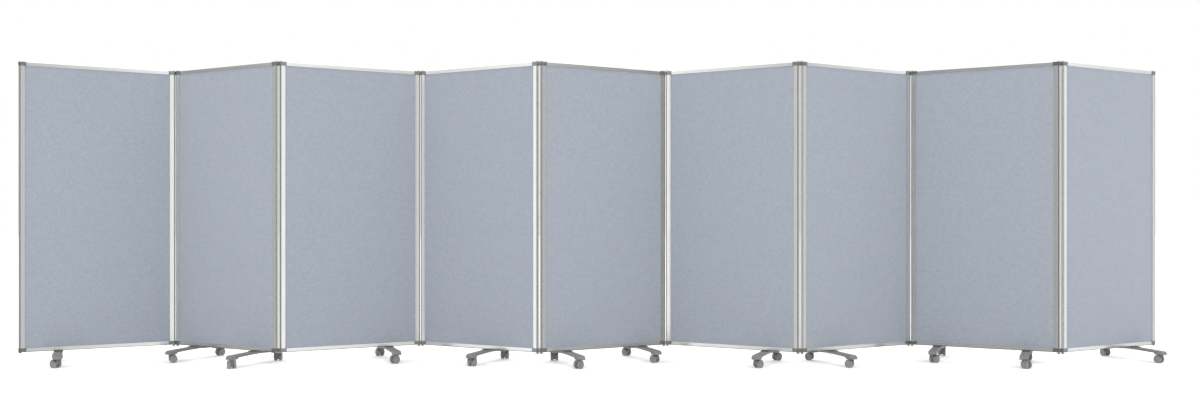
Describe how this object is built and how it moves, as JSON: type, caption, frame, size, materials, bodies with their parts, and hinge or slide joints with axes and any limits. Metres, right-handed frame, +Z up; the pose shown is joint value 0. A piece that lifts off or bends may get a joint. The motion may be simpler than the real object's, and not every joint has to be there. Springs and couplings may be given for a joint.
{
  "type": "accordion folding partition",
  "caption": "Free-standing zigzag room divider of fabric boards in aluminium frames, joined by double-pivot hinges, on arched feet with swivel casters.",
  "frame": {"origin": "on the floor, under the middle of the zigzag, midway between the panels' front and rear edges", "axes": "+X along the partition to the right, +Y away from the viewer, +Z up"},
  "size_m": [6.8618, 0.6445, 1.7869],
  "materials": {
    "frame": "satin anodised extrusion",
    "board": "blue-grey woven fabric stretched over a rigid board",
    "fittings": "moulded grey plastic, fine texture",
    "hinge": "grey plated steel plates and pins with dark knobs",
    "caster": "moulded grey plastic"
  },
  "bodies": {
    "panel_1": {"panel_1_frame": "frame", "panel_1_board": "board", "panel_1_fittings": "fittings"},
    "panel_2": {"panel_2_frame": "frame", "panel_2_board": "board", "panel_2_fittings": "fittings"},
    "panel_3": {"panel_3_frame": "frame", "panel_3_board": "board", "panel_3_fittings": "fittings"},
    "panel_4": {"panel_4_frame": "frame", "panel_4_board": "board", "panel_4_fittings": "fittings"},
    "panel_5": {"panel_5_frame": "frame", "panel_5_board": "board", "panel_5_fittings": "fittings"},
    "panel_6": {"panel_6_frame": "frame", "panel_6_board": "board", "panel_6_fittings": "fittings"},
    "panel_7": {"panel_7_frame": "frame", "panel_7_board": "board", "panel_7_fittings": "fittings"},
    "panel_8": {"panel_8_frame": "frame", "panel_8_board": "board", "panel_8_fittings": "fittings"},
    "panel_9": {"panel_9_frame": "frame", "panel_9_board": "board", "panel_9_fittings": "fittings"},
    "link_1": {"hinge_link_1": "hinge"},
    "link_2": {"hinge_link_2": "hinge"},
    "link_3": {"hinge_link_3": "hinge"},
    "link_4": {"hinge_link_4": "hinge"},
    "link_5": {"hinge_link_5": "hinge"},
    "link_6": {"hinge_link_6": "hinge"},
    "link_7": {"hinge_link_7": "hinge"},
    "link_8": {"hinge_link_8": "hinge"},
    "caster_1_front": {"caster_1_front": "caster"},
    "caster_1_rear": {"caster_1_rear": "caster"},
    "caster_2_front": {"caster_2_front": "caster"},
    "caster_2_rear": {"caster_2_rear": "caster"},
    "caster_3_front": {"caster_3_front": "caster"},
    "caster_3_rear": {"caster_3_rear": "caster"},
    "caster_4_front": {"caster_4_front": "caster"},
    "caster_4_rear": {"caster_4_rear": "caster"},
    "caster_5_front": {"caster_5_front": "caster"},
    "caster_5_rear": {"caster_5_rear": "caster"},
    "caster_6_front": {"caster_6_front": "caster"},
    "caster_6_rear": {"caster_6_rear": "caster"},
    "caster_7_front": {"caster_7_front": "caster"},
    "caster_7_rear": {"caster_7_rear": "caster"},
    "caster_8_front": {"caster_8_front": "caster"},
    "caster_8_rear": {"caster_8_rear": "caster"},
    "caster_9_front": {"caster_9_front": "caster"},
    "caster_9_rear": {"caster_9_rear": "caster"},
    "caster_10_front": {"caster_10_front": "caster"},
    "caster_10_rear": {"caster_10_rear": "caster"},
    "caster_11_front": {"caster_11_front": "caster"},
    "caster_11_rear": {"caster_11_rear": "caster"},
    "caster_12_front": {"caster_12_front": "caster"},
    "caster_12_rear": {"caster_12_rear": "caster"}
  },
  "joints": [
    {"name": "hinge_5_left", "type": "hinge", "parent": "panel_5", "child": "link_5", "pos_m": [0.36977, 0.18841, 0.93], "axis": [0, 0, -1], "range_deg": [-72, 43]},
    {"name": "hinge_5_right", "type": "hinge", "parent": "link_5", "child": "panel_6", "pos_m": [0.39277, 0.18841, 0.93], "axis": [0, 0, -1], "range_deg": [-72, 43]},
    {"name": "hinge_6_left", "type": "hinge", "parent": "panel_6", "child": "link_6", "pos_m": [1.1323, -0.18841, 0.93], "axis": [0, 0, 1], "range_deg": [-67, 13]},
    {"name": "hinge_6_right", "type": "hinge", "parent": "link_6", "child": "panel_7", "pos_m": [1.1553, -0.18841, 0.93], "axis": [0, 0, 1], "range_deg": [-67, 13]},
    {"name": "hinge_7_left", "type": "hinge", "parent": "panel_7", "child": "link_7", "pos_m": [1.89484, 0.18841, 0.93], "axis": [0, 0, -1], "range_deg": [-72, 43]},
    {"name": "hinge_7_right", "type": "hinge", "parent": "link_7", "child": "panel_8", "pos_m": [1.91784, 0.18841, 0.93], "axis": [0, 0, -1], "range_deg": [-72, 43]},
    {"name": "hinge_8_left", "type": "hinge", "parent": "panel_8", "child": "link_8", "pos_m": [2.65737, -0.18841, 0.93], "axis": [0, 0, 1], "range_deg": [-72, 43]},
    {"name": "hinge_8_right", "type": "hinge", "parent": "link_8", "child": "panel_9", "pos_m": [2.68037, -0.18841, 0.93], "axis": [0, 0, 1], "range_deg": [-72, 43]},
    {"name": "hinge_4_right", "type": "hinge", "parent": "panel_5", "child": "link_4", "pos_m": [-0.36977, -0.18841, 0.93], "axis": [0, 0, -1], "range_deg": [-72, 43]},
    {"name": "hinge_4_left", "type": "hinge", "parent": "link_4", "child": "panel_4", "pos_m": [-0.39277, -0.18841, 0.93], "axis": [0, 0, -1], "range_deg": [-72, 43]},
    {"name": "hinge_3_right", "type": "hinge", "parent": "panel_4", "child": "link_3", "pos_m": [-1.1323, 0.18841, 0.93], "axis": [0, 0, 1], "range_deg": [-72, 43]},
    {"name": "hinge_3_left", "type": "hinge", "parent": "link_3", "child": "panel_3", "pos_m": [-1.1553, 0.18841, 0.93], "axis": [0, 0, 1], "range_deg": [-72, 43]},
    {"name": "hinge_2_right", "type": "hinge", "parent": "panel_3", "child": "link_2", "pos_m": [-1.89484, -0.18841, 0.93], "axis": [0, 0, -1], "range_deg": [-72, 43]},
    {"name": "hinge_2_left", "type": "hinge", "parent": "link_2", "child": "panel_2", "pos_m": [-1.91784, -0.18841, 0.93], "axis": [0, 0, -1], "range_deg": [-72, 43]},
    {"name": "hinge_1_right", "type": "hinge", "parent": "panel_2", "child": "link_1", "pos_m": [-2.65737, 0.18841, 0.93], "axis": [0, 0, 1], "range_deg": [-72, 43]},
    {"name": "hinge_1_left", "type": "hinge", "parent": "link_1", "child": "panel_1", "pos_m": [-2.68037, 0.18841, 0.93], "axis": [0, 0, 1], "range_deg": [-72, 43]},
    {"name": "swivel_1_front", "type": "hinge", "parent": "panel_1", "child": "caster_1_front", "pos_m": [-3.16399, -0.26115, 0.058], "axis": [0, 0, 1], "continuous": true},
    {"name": "swivel_1_rear", "type": "hinge", "parent": "panel_1", "child": "caster_1_rear", "pos_m": [-3.32834, 0.06139, 0.058], "axis": [0, 0, 1], "continuous": true},
    {"name": "swivel_2_front", "type": "hinge", "parent": "panel_2", "child": "caster_2_front", "pos_m": [-2.60589, -0.04097, 0.058], "axis": [0, 0, 1], "continuous": true},
    {"name": "swivel_2_rear", "type": "hinge", "parent": "panel_2", "child": "caster_2_rear", "pos_m": [-2.44155, 0.28158, 0.058], "axis": [0, 0, 1], "continuous": true},
    {"name": "swivel_3_front", "type": "hinge", "parent": "panel_2", "child": "caster_3_front", "pos_m": [-2.15594, -0.27023, 0.058], "axis": [0, 0, 1], "continuous": true},
    {"name": "swivel_3_rear", "type": "hinge", "parent": "panel_2", "child": "caster_3_rear", "pos_m": [-1.99159, 0.05231, 0.058], "axis": [0, 0, 1], "continuous": true},
    {"name": "swivel_4_front", "type": "hinge", "parent": "panel_3", "child": "caster_4_front", "pos_m": [-1.24242, -0.05912, 0.058], "axis": [0, 0, 1], "continuous": true},
    {"name": "swivel_4_rear", "type": "hinge", "parent": "panel_3", "child": "caster_4_rear", "pos_m": [-1.40677, 0.26342, 0.058], "axis": [0, 0, 1], "continuous": true},
    {"name": "swivel_5_front", "type": "hinge", "parent": "panel_4", "child": "caster_5_front", "pos_m": [-0.78234, -0.19305, 0.058], "axis": [0, 0, 1], "continuous": true},
    {"name": "swivel_5_rear", "type": "hinge", "parent": "panel_4", "child": "caster_5_rear", "pos_m": [-0.61799, 0.12949, 0.058], "axis": [0, 0, 1], "continuous": true},
    {"name": "swivel_6_front", "type": "hinge", "parent": "panel_5", "child": "caster_6_front", "pos_m": [-0.14058, -0.27477, 0.058], "axis": [0, 0, 1], "continuous": true},
    {"name": "swivel_6_rear", "type": "hinge", "parent": "panel_5", "child": "caster_6_rear", "pos_m": [-0.30492, 0.04777, 0.058], "axis": [0, 0, 1], "continuous": true},
    {"name": "swivel_7_front", "type": "hinge", "parent": "panel_5", "child": "caster_7_front", "pos_m": [0.31383, -0.04324, 0.058], "axis": [0, 0, 1], "continuous": true},
    {"name": "swivel_7_rear", "type": "hinge", "parent": "panel_5", "child": "caster_7_rear", "pos_m": [0.14949, 0.27931, 0.058], "axis": [0, 0, 1], "continuous": true},
    {"name": "swivel_8_front", "type": "hinge", "parent": "panel_6", "child": "caster_8_front", "pos_m": [0.87638, -0.26115, 0.058], "axis": [0, 0, 1], "continuous": true},
    {"name": "swivel_8_rear", "type": "hinge", "parent": "panel_6", "child": "caster_8_rear", "pos_m": [1.04073, 0.06139, 0.058], "axis": [0, 0, 1], "continuous": true},
    {"name": "swivel_9_front", "type": "hinge", "parent": "panel_7", "child": "caster_9_front", "pos_m": [1.4335, -0.2498, 0.058], "axis": [0, 0, 1], "continuous": true},
    {"name": "swivel_9_rear", "type": "hinge", "parent": "panel_7", "child": "caster_9_rear", "pos_m": [1.26915, 0.07274, 0.058], "axis": [0, 0, 1], "continuous": true},
    {"name": "swivel_10_front", "type": "hinge", "parent": "panel_8", "child": "caster_10_front", "pos_m": [1.96932, -0.04097, 0.058], "axis": [0, 0, 1], "continuous": true},
    {"name": "swivel_10_rear", "type": "hinge", "parent": "panel_8", "child": "caster_10_rear", "pos_m": [2.13366, 0.28158, 0.058], "axis": [0, 0, 1], "continuous": true},
    {"name": "swivel_11_front", "type": "hinge", "parent": "panel_8", "child": "caster_11_front", "pos_m": [2.41928, -0.27023, 0.058], "axis": [0, 0, 1], "continuous": true},
    {"name": "swivel_11_rear", "type": "hinge", "parent": "panel_8", "child": "caster_11_rear", "pos_m": [2.58362, 0.05231, 0.058], "axis": [0, 0, 1], "continuous": true},
    {"name": "swivel_12_front", "type": "hinge", "parent": "panel_9", "child": "caster_12_front", "pos_m": [3.33279, -0.05912, 0.058], "axis": [0, 0, 1], "continuous": true},
    {"name": "swivel_12_rear", "type": "hinge", "parent": "panel_9", "child": "caster_12_rear", "pos_m": [3.16845, 0.26342, 0.058], "axis": [0, 0, 1], "continuous": true}
  ]
}
